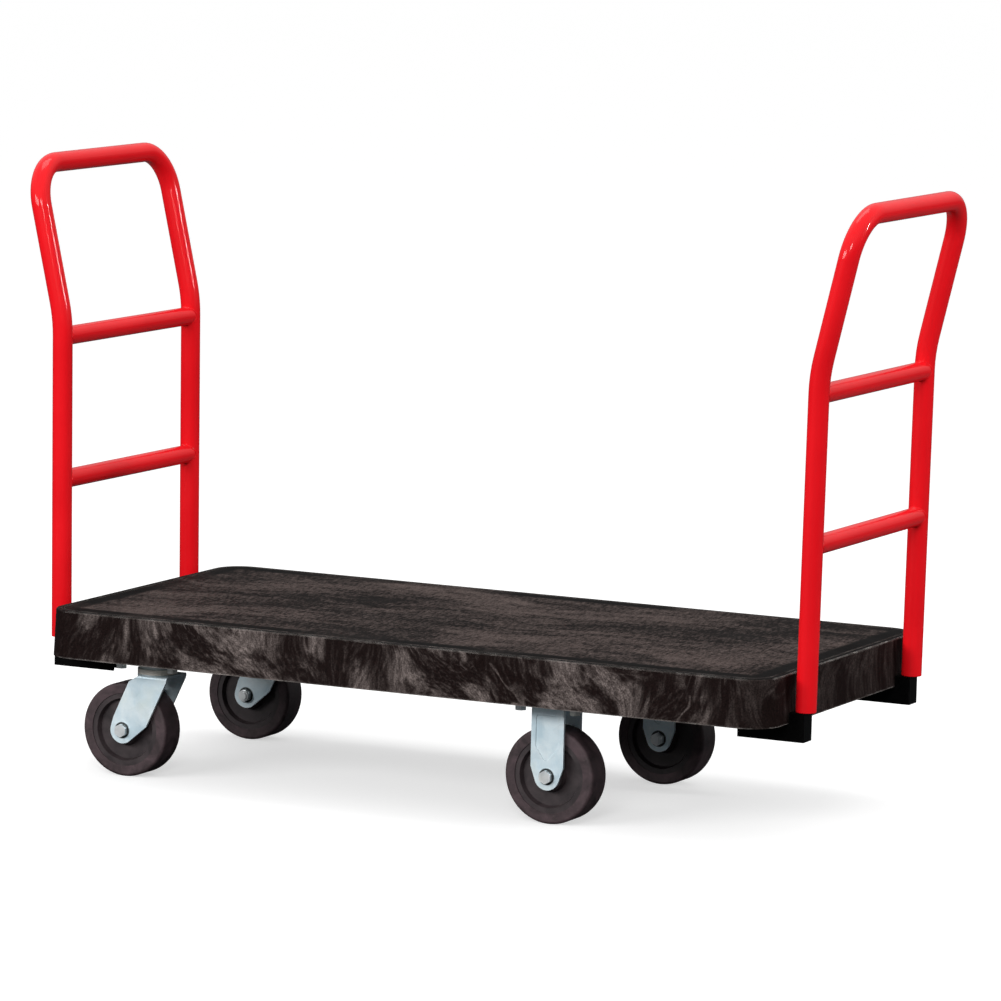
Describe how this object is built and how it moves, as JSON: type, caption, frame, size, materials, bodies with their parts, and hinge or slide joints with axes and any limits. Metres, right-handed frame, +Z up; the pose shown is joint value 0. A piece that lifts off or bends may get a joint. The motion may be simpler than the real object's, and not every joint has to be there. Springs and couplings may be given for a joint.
{
  "type": "platform truck",
  "caption": "Flat plastic-decked platform cart with a bent tube handle and crossbars at each end, two rigid and two swivel casters.",
  "frame": {"origin": "on the floor, below the centre of the deck", "axes": "+X along the deck towards the rigid casters, +Y across it, +Z up"},
  "size_m": [1.4464, 0.61, 0.9754],
  "materials": {
    "deck_plastic": "rough structural foam",
    "insert_brass": "turned",
    "red_paint": "gloss powder coat",
    "black_paint": "satin black",
    "spigot_steel": "plain steel",
    "bolt_steel": "zinc plated",
    "zinc_plate": "zinc plated",
    "zinc_fork": "bright zinc plated",
    "pin_steel": "plain steel",
    "ball_steel": "polished",
    "seal_steel": "yellow zinc",
    "core_plastic": "moulded",
    "tread_rubber": "rubber",
    "bearing_steel": "ground"
  },
  "bodies": {
    "chassis": {"axle_bolts_front": "bolt_steel", "bracket_bolts": "bolt_steel", "bracket_washers": "bolt_steel", "caster_plate_bolts": "bolt_steel", "caster_plate_front_left": "zinc_plate", "caster_plate_front_right": "zinc_plate", "caster_plate_rear_left": "zinc_plate", "caster_plate_rear_right": "zinc_plate", "caster_plate_washers": "bolt_steel", "corner_bracket_front_left": "black_paint", "corner_bracket_front_right": "black_paint", "corner_bracket_rear_left": "black_paint", "corner_bracket_rear_right": "black_paint", "crossbar_high_front": "red_paint", "crossbar_high_rear": "red_paint", "crossbar_low_front": "red_paint", "crossbar_low_rear": "red_paint", "deck_inserts": "insert_brass", "deck_moulding": "deck_plastic", "handle_spigots": "spigot_steel", "handle_tube_front": "red_paint", "handle_tube_rear": "red_paint", "hub_washers_front": "bearing_steel", "kingpin_left": "pin_steel", "kingpin_nut_left": "pin_steel", "kingpin_nut_right": "pin_steel", "kingpin_right": "pin_steel", "lock_nuts_front": "bolt_steel", "rigid_fork_left": "zinc_fork", "rigid_fork_right": "zinc_fork", "spanner_bushing_front_left": "bearing_steel", "spanner_bushing_front_right": "bearing_steel"},
    "swivel_left": {"swivel_fork_left": "zinc_fork", "dust_seal_left": "seal_steel", "ball_ring_left": "ball_steel", "axle_bolt_rear_left": "bolt_steel", "lock_nut_rear_left": "bolt_steel", "hub_washers_rear_left": "bearing_steel", "spanner_bushing_rear_left": "bearing_steel"},
    "wheel_rear_left": {"wheel_core_rear_left": "core_plastic", "wheel_tread_rear_left": "tread_rubber", "roller_bearing_rear_left": "bearing_steel"},
    "wheel_front_left": {"wheel_core_front_left": "core_plastic", "wheel_tread_front_left": "tread_rubber", "roller_bearing_front_left": "bearing_steel"},
    "swivel_right": {"swivel_fork_right": "zinc_fork", "dust_seal_right": "seal_steel", "ball_ring_right": "ball_steel", "axle_bolt_rear_right": "bolt_steel", "lock_nut_rear_right": "bolt_steel", "hub_washers_rear_right": "bearing_steel", "spanner_bushing_rear_right": "bearing_steel"},
    "wheel_rear_right": {"wheel_core_rear_right": "core_plastic", "wheel_tread_rear_right": "tread_rubber", "roller_bearing_rear_right": "bearing_steel"},
    "wheel_front_right": {"wheel_core_front_right": "core_plastic", "wheel_tread_front_right": "tread_rubber", "roller_bearing_front_right": "bearing_steel"}
  },
  "joints": [
    {"name": "caster_swivel_left", "type": "hinge", "parent": "chassis", "child": "swivel_left", "pos_m": [-0.4715, 0.204, 0.167], "axis": [0, 0, 1], "continuous": true},
    {"name": "wheel_spin_rear_left", "type": "hinge", "parent": "swivel_left", "child": "wheel_rear_left", "pos_m": [-0.5155, 0.204, 0.075], "axis": [0, 1, 0], "continuous": true},
    {"name": "wheel_spin_front_left", "type": "hinge", "parent": "chassis", "child": "wheel_front_left", "pos_m": [0.231, 0.204, 0.075], "axis": [0, 1, 0], "continuous": true},
    {"name": "caster_swivel_right", "type": "hinge", "parent": "chassis", "child": "swivel_right", "pos_m": [-0.4715, -0.204, 0.167], "axis": [0, 0, 1], "continuous": true},
    {"name": "wheel_spin_rear_right", "type": "hinge", "parent": "swivel_right", "child": "wheel_rear_right", "pos_m": [-0.5155, -0.204, 0.075], "axis": [0, 1, 0], "continuous": true},
    {"name": "wheel_spin_front_right", "type": "hinge", "parent": "chassis", "child": "wheel_front_right", "pos_m": [0.231, -0.204, 0.075], "axis": [0, 1, 0], "continuous": true}
  ]
}
